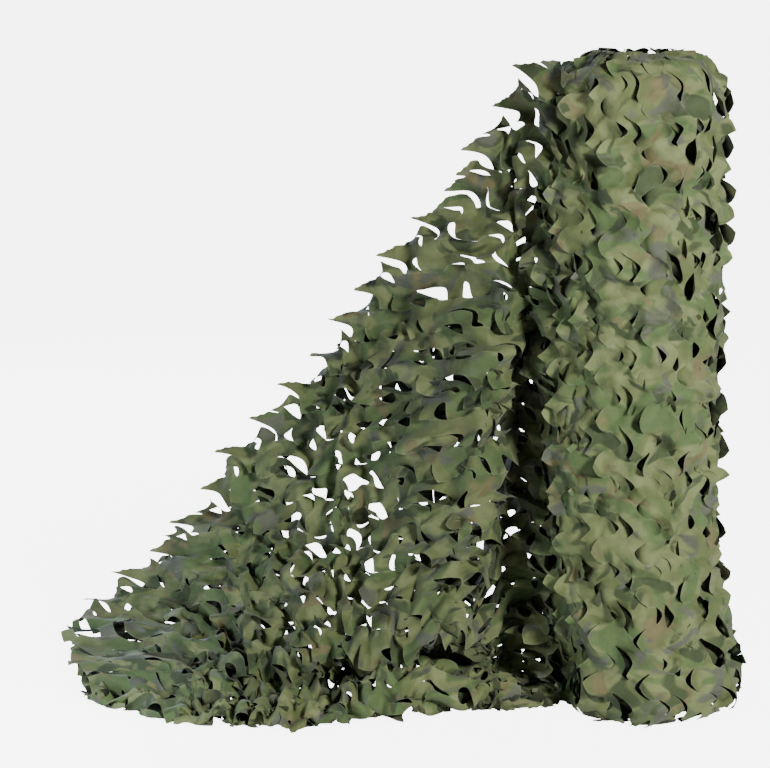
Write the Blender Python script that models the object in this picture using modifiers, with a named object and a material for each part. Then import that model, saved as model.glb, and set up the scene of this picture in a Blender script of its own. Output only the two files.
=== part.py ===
"""Leaf-cut camouflage netting: a roll standing on its end, with its loose end drawn out to the floor.

Units are metres, +Z is up and the origin is under the middle of the whole object, on the floor. The
netting is one width of cloth, 1.5 m, wound up, so that width is the height of the roll. It is built as two
solids: the wound roll, and the loose end, a thin sheet that leaves the roll along an upright line, hangs
from its sloping top edge and lies in folds on the floor.
"""

import math

import bmesh
import bpy
import numpy as np
from mathutils import Matrix, Vector

# Driving dimensions
ROLL_AXIS = Vector((0.5426, -0.0144, 0.0))  # where the roll's axis meets the floor
ROLL_SIDES = 49  # upright edges around the roll
TURN_STEP = 0.009  # how far the outermost turn stands over the one beneath it
LEAVE_ANGLE = math.radians(215)  # where the outermost turn leaves the roll
CLEARANCE = 0.0006  # between the end of the roll's outer turn and the loose end
SHEET_THICKNESS = 0.003  # cloth with the leaves that stand on it, pressed flat
FLOOR_GAP = 0.0021  # middle of the lowest layer above the floor
SHEET_COLUMNS = 42  # facets along the loose end
HANG_ROWS = 16  # facets down the hanging part
TURN_ROWS = 5  # facets around each fold on the floor
RUN_ROWS = 3  # facets along each layer between two folds
GAP_RADIUS = 0.024  # half the width of a leaf gap that is drawn open
GAP_SIDES = 12
GAP_DEPTH = 0.11  # length of a gap's cutter, through the hanging layer only

# The roll from the floor up: height, radius, and how much the crumpled end spreads there
ROLL_RADIUS = 0.195
ROLL_PROFILE = (
    dict(z=0.000, radius=ROLL_RADIUS, spread=0.060),
    dict(z=0.030, radius=ROLL_RADIUS, spread=0.078),
    dict(z=0.080, radius=ROLL_RADIUS, spread=0.072),
    dict(z=0.150, radius=ROLL_RADIUS, spread=0.045),
    dict(z=0.240, radius=ROLL_RADIUS, spread=0.020),
    dict(z=0.340, radius=ROLL_RADIUS, spread=0.007),
    dict(z=0.460, radius=ROLL_RADIUS, spread=0.001),
    dict(z=0.580, radius=ROLL_RADIUS, spread=0.0),
    dict(z=0.700, radius=ROLL_RADIUS, spread=0.0),
    dict(z=0.820, radius=ROLL_RADIUS, spread=0.0),
    dict(z=0.940, radius=ROLL_RADIUS, spread=0.0),
    dict(z=1.060, radius=ROLL_RADIUS, spread=0.0),
    dict(z=1.180, radius=ROLL_RADIUS, spread=0.0),
    dict(z=1.290, radius=ROLL_RADIUS, spread=0.0),
    dict(z=1.390, radius=ROLL_RADIUS, spread=0.0),
    dict(z=1.442, radius=0.184, spread=0.0),
    dict(z=1.474, radius=0.160, spread=0.0),
    dict(z=1.490, radius=0.118, spread=0.0),
    dict(z=1.500, radius=0.066, spread=0.0),
    dict(z=1.486, radius=0.026, spread=0.0),
)
SHEET_SIDE = math.radians(192)  # side of the roll's foot where the loose end's folds lie, and nothing spreads
LUMP_DEPTH = 0.007  # how far the bulging leaves stand off a true round

# Where the loose end starts, from the roll's axis: flush with the outermost turn and clear of its end
OUTWARD = Vector((math.cos(LEAVE_ANGLE), math.sin(LEAVE_ANGLE), 0))
LEAVE_DIRECTION = Vector((math.sin(LEAVE_ANGLE), -math.cos(LEAVE_ANGLE), 0))
START = OUTWARD * (ROLL_RADIUS + 0.5 * TURN_STEP) + LEAVE_DIRECTION * CLEARANCE

# The loose end, one row for each section across it, from the roll to the free end, as x and y from the
# roll's axis and z from the floor. top, upper, belly and then nose are passed on the way down the hanging
# part: nose is the foremost point of the fold at its foot. back is the rearmost point of the layer that
# turns under it, front the foremost point on the floor and hem the edge that lies beneath. turns holds the
# radii of those three folds, and facing the compass angle in degrees, from +X, that they open towards.
SECTIONS = (
    dict(name="at_roll", facing=215, top=(START.x, START.y, 1.385), upper=(START.x, START.y, 1.0),
         belly=(START.x, START.y, 0.6), nose=(START.x - 0.0013, START.y - 0.0009), back=(-0.142, -0.098),
         front=(-0.200, -0.138), hem=(-0.175, -0.121), turns=(0.012, 0.009, 0.010)),
    dict(name="shoulder", facing=238, top=(-0.203, -0.050, 1.425), upper=(-0.207, -0.052, 1.02),
         belly=(-0.226, 0.022, 0.62), nose=(-0.225, 0.000), back=(-0.199, 0.045),
         front=(-0.248, -0.115), hem=(-0.232, -0.060), turns=(0.018, 0.010, 0.011)),
    dict(name="valley", facing=258, top=(-0.248, 0.004, 1.400), upper=(-0.232, -0.012, 1.0),
         belly=(-0.266, 0.135, 0.62), nose=(-0.290, 0.075), back=(-0.272, 0.140),
         front=(-0.300, -0.110), hem=(-0.285, -0.020), turns=(0.026, 0.012, 0.012)),
    dict(name="valley_wall", facing=268, top=(-0.287, 0.030, 1.335), upper=(-0.246, 0.000, 0.98),
         belly=(-0.290, 0.075, 0.62), nose=(-0.345, 0.010), back=(-0.330, 0.125),
         front=(-0.350, -0.130), hem=(-0.330, -0.020), turns=(0.034, 0.018, 0.016)),
    dict(name="bulge_edge", facing=270, top=(-0.318, 0.050, 1.270), upper=(-0.258, -0.038, 0.96),
         belly=(-0.276, -0.060, 0.64), nose=(-0.372, -0.085), back=(-0.365, 0.085),
         front=(-0.395, -0.175), hem=(-0.370, -0.045), turns=(0.044, 0.030, 0.024)),
    dict(name="bulge_crest", facing=270, top=(-0.372, 0.072, 1.205), upper=(-0.326, -0.066, 0.93),
         belly=(-0.358, -0.130, 0.61), nose=(-0.425, -0.135), back=(-0.420, 0.060),
         front=(-0.470, -0.210), hem=(-0.440, -0.075), turns=(0.050, 0.036, 0.030)),
    dict(name="bulge_flank", facing=270, top=(-0.455, 0.105, 1.115), upper=(-0.432, -0.005, 0.86),
         belly=(-0.458, -0.080, 0.55), nose=(-0.500, -0.145), back=(-0.500, 0.060),
         front=(-0.545, -0.228), hem=(-0.525, -0.095), turns=(0.048, 0.032, 0.031)),
    dict(name="middle", facing=270, top=(-0.562, 0.150, 0.968), upper=(-0.566, 0.092, 0.75),
         belly=(-0.588, 0.026, 0.48), nose=(-0.600, -0.150), back=(-0.605, 0.070),
         front=(-0.640, -0.250), hem=(-0.625, -0.115), turns=(0.046, 0.027, 0.028)),
    dict(name="low_middle", facing=270, top=(-0.705, 0.205, 0.752), upper=(-0.708, 0.148, 0.58),
         belly=(-0.716, 0.060, 0.38), nose=(-0.720, -0.160), back=(-0.730, 0.080),
         front=(-0.745, -0.282), hem=(-0.730, -0.135), turns=(0.042, 0.022, 0.025)),
    dict(name="slope", facing=270, top=(-0.860, 0.252, 0.560), upper=(-0.857, 0.186, 0.43),
         belly=(-0.850, 0.088, 0.28), nose=(-0.835, -0.150), back=(-0.850, 0.095),
         front=(-0.860, -0.290), hem=(-0.850, -0.135), turns=(0.038, 0.019, 0.021)),
    dict(name="low_slope", facing=270, top=(-1.020, 0.290, 0.355), upper=(-1.006, 0.220, 0.275),
         belly=(-0.986, 0.108, 0.195), nose=(-0.965, -0.115), back=(-0.985, 0.120),
         front=(-0.990, -0.255), hem=(-0.980, -0.110), turns=(0.030, 0.016, 0.017)),
    dict(name="near_end", facing=270, top=(-1.185, 0.318, 0.200), upper=(-1.168, 0.258, 0.165),
         belly=(-1.142, 0.160, 0.125), nose=(-1.120, -0.035), back=(-1.150, 0.165),
         front=(-1.140, -0.190), hem=(-1.145, -0.065), turns=(0.022, 0.013, 0.014)),
    dict(name="free_end", facing=270, top=(-1.330, 0.325, 0.090), upper=(-1.358, 0.285, 0.088),
         belly=(-1.378, 0.222, 0.074), nose=(-1.378, 0.090), back=(-1.372, 0.215),
         front=(-1.262, -0.118), hem=(-1.300, -0.010), turns=(0.012, 0.010, 0.011)),
)
RIPPLE = dict(depth=0.006, along=6.5, down=1.8)  # unevenness of the hanging part: waves along it and down it

# Gaps between the leaves that show light through: share along the loose end, and row down its hanging part
GAPS = (
    dict(name="gap_top_high", along=0.170, row=2),
    dict(name="gap_top_middle", along=0.220, row=3),
    dict(name="gap_top_low", along=0.262, row=4),
    dict(name="gap_edge_high", along=0.305, row=2),
    dict(name="gap_edge_low", along=0.550, row=3),
    dict(name="gap_right_high", along=0.320, row=7),
    dict(name="gap_right_low", along=0.368, row=8),
    dict(name="gap_middle_high", along=0.450, row=8),
    dict(name="gap_middle_low", along=0.440, row=10),
    dict(name="gap_left_high", along=0.520, row=8),
    dict(name="gap_left_middle", along=0.515, row=11),
    dict(name="gap_left_low", along=0.590, row=10),
)


def clear_scene():
    for held in list(bpy.data.objects):
        bpy.data.objects.remove(held, do_unlink=True)


def cloth_material(name, colour):
    material = bpy.data.materials.new(name)
    material.use_nodes = True
    shader = material.node_tree.nodes["Principled BSDF"]
    shader.inputs["Base Color"].default_value = colour
    shader.inputs["Roughness"].default_value = 0.75
    shader.inputs["Metallic"].default_value = 0.0
    return material


def mesh_object(name, shape, collection, material=None):
    mesh = bpy.data.meshes.new(name)
    shape.to_mesh(mesh)
    shape.free()
    made = bpy.data.objects.new(name, mesh)
    collection.objects.link(made)
    if material is not None:
        mesh.materials.append(material)
    return made


# The wound roll


def apart(angle, other):
    return (angle - other + math.pi) % (2 * math.pi) - math.pi


def clear_of_leave_line(angle):
    """0 on the line where the cloth leaves the roll, 1 well away from it."""
    return 1 - math.exp(-((apart(angle, LEAVE_ANGLE) / math.radians(38)) ** 2))


def spread_share(angle):
    """How much of the foot's spread shows at an angle: drawn in a little where the loose end's folds lie."""
    return 1 - 1.6 * math.exp(-((apart(angle, SHEET_SIDE) / math.radians(50)) ** 4))


def roll_radius(level, turned):
    """Radius at one row of ROLL_PROFILE; turned runs from 0 to 1 around the roll to the outer turn's end."""
    angle = LEAVE_ANGLE - 2 * math.pi * turned
    row = ROLL_PROFILE[level]
    lumps = math.sin(5 * angle + 9 * row["z"]) + math.sin(9 * angle - 16 * row["z"] + 1.2)
    ruffle = 1 + 0.16 * math.sin(8 * angle + 0.6) + 0.10 * math.sin(13 * angle + 2.0)
    lump = 0.5 * LUMP_DEPTH * lumps * clear_of_leave_line(angle) * row["radius"] / ROLL_RADIUS
    return row["radius"] + TURN_STEP * turned + lump + row["spread"] * spread_share(angle) * ruffle


def roll_point(level, side):
    turned = side / (ROLL_SIDES - 1)
    angle = LEAVE_ANGLE - 2 * math.pi * turned
    radius = roll_radius(level, turned)
    return ROLL_AXIS + Vector((radius * math.cos(angle), radius * math.sin(angle), ROLL_PROFILE[level]["z"]))


def build_roll(collection):
    levels = len(ROLL_PROFILE)
    shape = bmesh.new()
    bmesh.ops.create_cone(
        shape, cap_ends=True, cap_tris=False, segments=ROLL_SIDES, radius1=1, radius2=1, depth=levels - 1
    )
    bmesh.ops.translate(shape, verts=shape.verts, vec=(0, 0, (levels - 1) / 2))
    for level in range(1, levels - 1):
        everything = list(shape.verts) + list(shape.edges) + list(shape.faces)
        bmesh.ops.bisect_plane(shape, geom=everything, plane_co=(0, 0, level), plane_no=(0, 0, 1))
    step = 2 * math.pi / ROLL_SIDES
    for corner in shape.verts:
        side = round(-math.atan2(corner.co.y, corner.co.x) / step) % ROLL_SIDES
        corner.co = roll_point(round(corner.co.z), side)
    return mesh_object("net_roll", shape, collection, cloth_material("rolled_netting", (0.20, 0.25, 0.13, 1)))


# The loose end


def stations_of(points):
    """Share of the length of a line of points at which each of them stands."""
    lengths = np.linalg.norm(np.diff(np.array(points), axis=0), axis=1)
    return np.concatenate([[0], np.cumsum(lengths)]) / lengths.sum()


def blend(stations, values, share):
    """A value between those given at the stations, on a smooth curve through them."""
    low = int(np.clip(np.searchsorted(stations, share, side="right") - 1, 0, len(stations) - 2))
    width = stations[low + 1] - stations[low]
    part = (share - stations[low]) / width

    def slope(index):
        before, after = max(index - 1, 0), min(index + 1, len(stations) - 1)
        return (values[after] - values[before]) / (stations[after] - stations[before])

    square, cube = part**2, part**3
    return (
        values[low] * (2 * cube - 3 * square + 1)
        + slope(low) * width * (cube - 2 * square + part)
        + values[low + 1] * (3 * square - 2 * cube)
        + slope(low + 1) * width * (cube - square)
    )


def hang(points):
    """Points down the hanging part, on a smooth curve through the given ones, without the last."""
    stations, places = stations_of(points), np.array(points)
    return [Vector(blend(stations, places, step / HANG_ROWS)) for step in range(HANG_ROWS)]


def run(start, end):
    """Points between two folds, without the ends."""
    return [start + (end - start) * (step / RUN_ROWS) for step in range(1, RUN_ROWS)]


def turn(centre, radius, forward, first, last):
    """Points on a fold in the upright plane of forward. Angles are in degrees, from the rear over the top."""
    points = []
    for step in range(TURN_ROWS + 1):
        angle = math.radians(first + (last - first) * step / TURN_ROWS)
        rise = Vector((0, 0, radius * math.sin(angle)))
        points.append(centre - forward * (radius * math.cos(angle)) + rise)
    return points


def section_points(row):
    """One section from its top edge, down the hanging part and through the folds on the floor, to the hem."""
    facing = math.radians(row["facing"])
    forward = Vector((math.cos(facing), math.sin(facing), 0))
    nose_radius, back_radius, front_radius = row["turns"]
    second_layer = FLOOR_GAP + 2 * front_radius
    third_layer = second_layer + 2 * back_radius
    nose = Vector((*row["nose"], third_layer + nose_radius)) - forward * nose_radius
    back = Vector((*row["back"], second_layer + back_radius)) + forward * back_radius
    front = Vector((*row["front"], FLOOR_GAP + front_radius)) - forward * front_radius
    hem = Vector((*row["hem"], FLOOR_GAP))
    nose_turn = turn(nose, nose_radius, forward, 150, 270)
    back_turn = turn(back, back_radius, forward, 90, -90)
    front_turn = turn(front, front_radius, forward, 90, 270)
    return (
        hang([row["top"], row["upper"], row["belly"], nose_turn[0]])
        + nose_turn
        + run(nose_turn[-1], back_turn[0])
        + back_turn
        + run(back_turn[-1], front_turn[0])
        + front_turn
        + run(front_turn[-1], hem)
        + [hem]
    )


def sheet_sections():
    stations = stations_of([row["top"] for row in SECTIONS])
    return stations, np.array([[tuple(point) for point in section_points(row)] for row in SECTIONS])


def ripple(along, down):
    """How far the hanging part stands forward at a place, fading out at the roll and at the foot."""
    fade = min(1, along / 0.15) * math.sin(math.pi * min(down / HANG_ROWS, 1))
    phase = RIPPLE["along"] * along + RIPPLE["down"] * down / HANG_ROWS
    return RIPPLE["depth"] * fade * math.sin(2 * math.pi * phase)


def sheet_place(along, down):
    """A point of the loose end: a share of its length, and a row of its sections."""
    stations, sections = sheet_sections()
    return ROLL_AXIS + Vector(blend(stations, sections, along)[down]) - Vector((0, ripple(along, down), 0))


def build_loose_end(collection, cutters):
    rows = len(section_points(SECTIONS[0])) - 1
    shape = bmesh.new()
    bmesh.ops.create_grid(shape, x_segments=SHEET_COLUMNS, y_segments=rows, size=0.5)
    for corner in shape.verts:
        corner.co = sheet_place(corner.co.x + 0.5, round((corner.co.y + 0.5) * rows))
    bmesh.ops.recalc_face_normals(shape, faces=shape.faces)
    material = cloth_material("loose_netting", (0.16, 0.21, 0.11, 1))
    sheet = mesh_object("loose_end", shape, collection, material)
    thickness = sheet.modifiers.new("thickness", "SOLIDIFY")
    thickness.thickness = SHEET_THICKNESS
    thickness.offset = 0
    for gap in GAPS:
        middle = sheet_place(gap["along"], gap["row"])
        cut = sheet.modifiers.new(gap["name"], "BOOLEAN")
        cut.operation = "DIFFERENCE"
        cut.object = gap_cutter(gap["name"], middle, cutters)
    return sheet


def gap_cutter(name, middle, cutters):
    shape = bmesh.new()
    bmesh.ops.create_cone(
        shape, cap_ends=True, segments=GAP_SIDES, radius1=GAP_RADIUS, radius2=GAP_RADIUS, depth=GAP_DEPTH
    )
    lie_down = Matrix.Rotation(math.pi / 2, 4, "X")
    bmesh.ops.transform(shape, matrix=Matrix.Translation(middle) @ lie_down, verts=shape.verts)
    cutter = mesh_object(name, shape, cutters)
    cutter.hide_render = True
    cutter.display_type = "WIRE"
    return cutter


def main():
    clear_scene()
    netting = bpy.data.collections.new("camouflage_netting")
    cutters = bpy.data.collections.new("cutters")
    bpy.context.scene.collection.children.link(netting)
    bpy.context.scene.collection.children.link(cutters)
    build_roll(netting)
    build_loose_end(netting, cutters)


main()
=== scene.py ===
"""Leaf-cut camouflage netting, a roll standing on its end with its loose end drawn out: the looks.

The netting is one cloth with rows of hooked cuts. Every piece here starts as that cloth lying flat, on a
grid turned 45 degrees so that the cuts follow its lines. The cuts are split open, the cloth is laid on the
form of its solid, and it is then let settle: its threads keep their length, so the ribbons between the cuts
tilt and twist and the leaves stand out.
"""

import math

import bmesh
import bpy
import numpy as np
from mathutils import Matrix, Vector


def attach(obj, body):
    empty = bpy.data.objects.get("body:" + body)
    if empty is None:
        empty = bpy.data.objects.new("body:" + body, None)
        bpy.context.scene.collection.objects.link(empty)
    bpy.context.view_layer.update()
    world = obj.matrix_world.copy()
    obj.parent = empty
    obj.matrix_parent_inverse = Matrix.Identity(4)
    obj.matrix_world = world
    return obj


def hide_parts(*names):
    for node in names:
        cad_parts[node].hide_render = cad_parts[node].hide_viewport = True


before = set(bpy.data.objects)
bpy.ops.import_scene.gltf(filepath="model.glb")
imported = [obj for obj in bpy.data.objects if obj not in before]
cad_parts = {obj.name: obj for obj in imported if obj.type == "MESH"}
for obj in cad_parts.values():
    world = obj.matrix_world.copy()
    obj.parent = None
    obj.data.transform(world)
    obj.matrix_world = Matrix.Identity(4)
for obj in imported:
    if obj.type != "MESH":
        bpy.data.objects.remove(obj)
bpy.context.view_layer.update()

# The cloth, lying flat, in metres
SQUARE = 0.0125  # side of one square of the cutting grid
STRETCH_DOWN = 1.09  # the grid is this much taller than it is wide
REPEAT = 12  # squares along both diagonals before the cuts repeat
STEP_ACROSS = SQUARE / math.sqrt(2)
STEP_DOWN = STRETCH_DOWN * SQUARE / math.sqrt(2)
HOOKS = (  # corners of the cuts of one repeat, in squares of the grid
    ((-5, 0), (0, 0), (0, -3), (2, -3)),
    ((-3, 7), (-3, 3), (1, 3)),
    ((1, 4), (4, 4), (4, 2)),
)
BLOCK = 3  # squares between one line of cuts and the next
LEAST_SCRAP = 14  # a loose scrap of fewer squares than this falls out
LEAVES = 100003  # a prime, so that the leaves' numbers spread over the random draws
FACET_BLOCKS = 64  # blocks of squares before the creases repeat
TONGUES = (  # where each tongue's corner lies in the repeat, the side it is on, and its two arms
    (0, 0, -1, (5, 3)),
    (0, 6, 1, (4, 4)),
    (-3, -3, 1, (2, 3)),
    (4, 0, -1, (3, 2)),
)

# The roll, repeated from the part's source
ROLL_AXIS = np.array((0.5426, -0.0144, 0.0))
ROLL_RADIUS = 0.195
TURN_STEP = 0.009
LEAVE_ANGLE = math.radians(215)
SHEET_SIDE = math.radians(192)
FOOT_LEVELS = np.array((0.0, 0.03, 0.08, 0.15, 0.24, 0.34, 0.46, 0.58))
FOOT_SPREAD = np.array((0.060, 0.078, 0.072, 0.045, 0.020, 0.007, 0.001, 0.0))
HEAD_LEVELS = np.array((1.39, 1.442, 1.474, 1.490, 1.500))
HEAD_RADII = np.array((0.195, 0.184, 0.160, 0.118, 0.066))
LUMP_DEPTH = 0.007

# How the netting lies on the roll
ROLL_ACROSS = 0.88  # metres around the roll to a metre of flat cloth
ROLL_DOWN = 0.86  # metres up the roll to a metre of flat cloth
ROLL_FOOT = 0.004  # height at which the turns stand
HIGHEST = 1.505  # no leaf of the roll reaches higher
LOWEST = 0.003  # no leaf reaches lower
INNER_TURNS = 4.2  # turns that show in the open head
INNER_ACROSS = 0.92  # metres along those turns to a metre of flat cloth

# The loose end, repeated from the part's source
FLOOR_GAP = 0.0021
HANG_ROWS = 16
TURN_ROWS = 5
RUN_ROWS = 3
OUTWARD = Vector((math.cos(LEAVE_ANGLE), math.sin(LEAVE_ANGLE), 0))
LEAVE_DIRECTION = Vector((math.sin(LEAVE_ANGLE), -math.cos(LEAVE_ANGLE), 0))
START = OUTWARD * (ROLL_RADIUS + 0.5 * TURN_STEP) + LEAVE_DIRECTION * 0.0006
SECTIONS = (
    dict(name="at_roll", facing=215, top=(START.x, START.y, 1.385), upper=(START.x, START.y, 1.0),
         belly=(START.x, START.y, 0.6), nose=(START.x - 0.0013, START.y - 0.0009), back=(-0.142, -0.098),
         front=(-0.200, -0.138), hem=(-0.175, -0.121), turns=(0.012, 0.009, 0.010)),
    dict(name="shoulder", facing=238, top=(-0.203, -0.050, 1.425), upper=(-0.207, -0.052, 1.02),
         belly=(-0.226, 0.022, 0.62), nose=(-0.225, 0.000), back=(-0.199, 0.045),
         front=(-0.248, -0.115), hem=(-0.232, -0.060), turns=(0.018, 0.010, 0.011)),
    dict(name="valley", facing=258, top=(-0.248, 0.004, 1.400), upper=(-0.232, -0.012, 1.0),
         belly=(-0.266, 0.135, 0.62), nose=(-0.290, 0.075), back=(-0.272, 0.140),
         front=(-0.300, -0.110), hem=(-0.285, -0.020), turns=(0.026, 0.012, 0.012)),
    dict(name="valley_wall", facing=268, top=(-0.287, 0.030, 1.335), upper=(-0.246, 0.000, 0.98),
         belly=(-0.290, 0.075, 0.62), nose=(-0.345, 0.010), back=(-0.330, 0.125),
         front=(-0.350, -0.130), hem=(-0.330, -0.020), turns=(0.034, 0.018, 0.016)),
    dict(name="bulge_edge", facing=270, top=(-0.318, 0.050, 1.270), upper=(-0.258, -0.038, 0.96),
         belly=(-0.276, -0.060, 0.64), nose=(-0.372, -0.085), back=(-0.365, 0.085),
         front=(-0.395, -0.175), hem=(-0.370, -0.045), turns=(0.044, 0.030, 0.024)),
    dict(name="bulge_crest", facing=270, top=(-0.372, 0.072, 1.205), upper=(-0.326, -0.066, 0.93),
         belly=(-0.358, -0.130, 0.61), nose=(-0.425, -0.135), back=(-0.420, 0.060),
         front=(-0.470, -0.210), hem=(-0.440, -0.075), turns=(0.050, 0.036, 0.030)),
    dict(name="bulge_flank", facing=270, top=(-0.455, 0.105, 1.115), upper=(-0.432, -0.005, 0.86),
         belly=(-0.458, -0.080, 0.55), nose=(-0.500, -0.145), back=(-0.500, 0.060),
         front=(-0.545, -0.228), hem=(-0.525, -0.095), turns=(0.048, 0.032, 0.031)),
    dict(name="middle", facing=270, top=(-0.562, 0.150, 0.968), upper=(-0.566, 0.092, 0.75),
         belly=(-0.588, 0.026, 0.48), nose=(-0.600, -0.150), back=(-0.605, 0.070),
         front=(-0.640, -0.250), hem=(-0.625, -0.115), turns=(0.046, 0.027, 0.028)),
    dict(name="low_middle", facing=270, top=(-0.705, 0.205, 0.752), upper=(-0.708, 0.148, 0.58),
         belly=(-0.716, 0.060, 0.38), nose=(-0.720, -0.160), back=(-0.730, 0.080),
         front=(-0.745, -0.282), hem=(-0.730, -0.135), turns=(0.042, 0.022, 0.025)),
    dict(name="slope", facing=270, top=(-0.860, 0.252, 0.560), upper=(-0.857, 0.186, 0.43),
         belly=(-0.850, 0.088, 0.28), nose=(-0.835, -0.150), back=(-0.850, 0.095),
         front=(-0.860, -0.290), hem=(-0.850, -0.135), turns=(0.038, 0.019, 0.021)),
    dict(name="low_slope", facing=270, top=(-1.020, 0.290, 0.355), upper=(-1.006, 0.220, 0.275),
         belly=(-0.986, 0.108, 0.195), nose=(-0.965, -0.115), back=(-0.985, 0.120),
         front=(-0.990, -0.255), hem=(-0.980, -0.110), turns=(0.030, 0.016, 0.017)),
    dict(name="near_end", facing=270, top=(-1.185, 0.318, 0.200), upper=(-1.168, 0.258, 0.165),
         belly=(-1.142, 0.160, 0.125), nose=(-1.120, -0.035), back=(-1.150, 0.165),
         front=(-1.140, -0.190), hem=(-1.145, -0.065), turns=(0.022, 0.013, 0.014)),
    dict(name="free_end", facing=270, top=(-1.330, 0.325, 0.090), upper=(-1.358, 0.285, 0.088),
         belly=(-1.378, 0.222, 0.074), nose=(-1.378, 0.090), back=(-1.372, 0.215),
         front=(-1.262, -0.118), hem=(-1.300, -0.010), turns=(0.012, 0.010, 0.011)),
)

# How the netting lies flat, and on the loose end
TOP_FLAT = 196 * STEP_DOWN  # the upper selvedge when the cloth lies flat
FOOT_FLAT = 7 * STEP_DOWN  # the lower selvedge
LOOSE_ACROSS = 1.02  # metres along the loose end's upper edge to a metre of the cutting grid
LOOSE_DOWN = 0.76  # metres square to the upper edge to a metre of the cutting grid
LOOSE_LONGEST = 2.9  # flat cloth that the loose end is cut from, in metres
LOOSE_DEEPEST = 1.75
LOOSE_GRID = 1.14  # the cutting grid runs this much wider on the loose end
SLANT = 1.06  # the cloth hangs square to its sloping upper edge, so it nears the roll as it goes down
FRONT_MOST = -0.333  # no leaf of the loose end reaches further forward
TIP_SET_IN = 0.1  # how far a hook's corner is rounded off, in squares
FOLD_ANGLE = math.radians(14)  # the cloth is creased where it folds by more
BOW = 0.0026  # how far the arms of the hooks bow out


# The cloth lying flat


def cut_marks():
    """The edges of the grid that are cut, by direction and by place in the repeat."""
    marks = set()
    for hook in HOOKS:
        for (first_p, first_q), (last_p, last_q) in zip(hook, hook[1:]):
            for p in range(min(first_p, last_p), max(first_p, last_p)):
                marks.add(("p", (p + first_q) % REPEAT, (first_q - p) % REPEAT))
            for q in range(min(first_q, last_q), max(first_q, last_q)):
                marks.add(("q", (first_p + q) % REPEAT, (q - first_p) % REPEAT))
    return marks


CUT_MARKS = cut_marks()


def flat_cloth(left, right, bottom, top, keep=None):
    """The cloth lying flat inside a rectangle, and inside keep(x, y) if given, with its hooks cut open."""
    sums = (math.floor(left / STEP_ACROSS), math.ceil(right / STEP_ACROSS))
    gaps = (math.floor(bottom / STEP_DOWN), math.ceil(top / STEP_DOWN))
    low_p, high_p = (sums[0] - gaps[1]) // 2 - 1, (sums[1] - gaps[0]) // 2 + 1
    low_q, high_q = (sums[0] + gaps[0]) // 2 - 1, (sums[1] + gaps[1]) // 2 + 1
    wide, tall = high_p - low_p, high_q - low_q
    cloth = bmesh.new()
    bmesh.ops.create_grid(cloth, x_segments=wide, y_segments=tall, size=0.5)
    square = cloth.verts.layers.int.new("square_p"), cloth.verts.layers.int.new("square_q")
    for corner in cloth.verts:
        p = round((corner.co.x + 0.5) * wide) + low_p
        q = round((corner.co.y + 0.5) * tall) + low_q
        corner[square[0]], corner[square[1]] = p, q
        corner.co = ((p + q) * STEP_ACROSS, (q - p) * STEP_DOWN, 0)
    outside = []
    for patch in cloth.faces:
        middle = patch.calc_center_median()
        in_box = left - 1e-6 <= middle.x <= right + 1e-6 and bottom - 1e-6 <= middle.y <= top + 1e-6
        if not in_box or (keep is not None and not keep(middle.x, middle.y)):
            outside.append(patch)
    bmesh.ops.delete(cloth, geom=outside, context="FACES")
    cuts = []
    for edge in cloth.edges:
        if not edge.is_boundary:
            p = min(corner[square[0]] for corner in edge.verts)
            q = min(corner[square[1]] for corner in edge.verts)
            way = "p" if edge.verts[0][square[1]] == edge.verts[1][square[1]] else "q"
            if (way, (p + q) % REPEAT, (q - p) % REPEAT) in CUT_MARKS:
                cuts.append(edge)
    bmesh.ops.split_edges(cloth, edges=cuts)
    bmesh.ops.delete(cloth, geom=scraps_of(cloth, LEAST_SCRAP), context="FACES")
    for corner in cloth.verts:
        bow_hooks(corner, corner[square[0]], corner[square[1]])
        corner.co.x = min(max(corner.co.x, left), right)
        corner.co.y = min(max(corner.co.y, bottom), top)
    cloth.verts.index_update()
    return cloth


def square_layers(cloth):
    """The layers that hold each corner's place on the grid."""
    return cloth.verts.layers.int["square_p"], cloth.verts.layers.int["square_q"]


def low_corner(patch, layers):
    """The lower place of a patch on the grid, both ways."""
    return tuple(min(corner[layer] for corner in patch.verts) for layer in layers)


def scraps_of(cloth, least):
    """The patches of every loose scrap that has fewer than the least number."""
    seen, scraps = set(), []
    for start in cloth.faces:
        if start in seen:
            continue
        seen.add(start)
        group = [start]
        for patch in group:
            for edge in patch.edges:
                for beside in edge.link_faces:
                    if beside not in seen:
                        seen.add(beside)
                        group.append(beside)
        if len(group) < least:
            scraps += group
    return scraps


def bow_hooks(corner, p, q):
    """Rounds off a hook's corner and bows its arms, so that the cuts run in curves."""
    sums, gaps = (p + q) % REPEAT, (q - p) % REPEAT
    if (sums, gaps) == (0, 0):
        corner.co.x -= 2 * TIP_SET_IN * STEP_ACROSS
    elif (sums, gaps) == (0, 6):
        corner.co.x += 2 * TIP_SET_IN * STEP_ACROSS
    x, y = (p + q) * 2 * math.pi / REPEAT, (q - p) * 4 * math.pi / REPEAT
    corner.co.x -= BOW * math.sin(x)
    corner.co.y += BOW * math.sin(y)


def flat_places(cloth):
    """Where each corner lies on the flat cloth."""
    return np.array([corner.co.xy[:] for corner in cloth.verts])


def tongue_places(p, q):
    """For a place inside a hook's tongue: both ways from its corner, its two arms, and the hook's number."""
    sums, gaps = p + q, q - p
    found = []
    for start, level, side, arms in TONGUES:
        along = (sums * side - start + 1) % REPEAT - 1
        up = (gaps - level + 6) % REPEAT - 6
        first, second = (along - up * side) / 2, (along + up * side) / 2
        first_arm, second_arm = arms
        if first > 0 and second > 0 and first / first_arm + second / second_arm < 1.2:
            hook = round(sums - along * side) * 7919 + round(gaps - up) * 104729 + level
            found.append((first, second, side, arms, hook % LEAVES))
    return found


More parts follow.
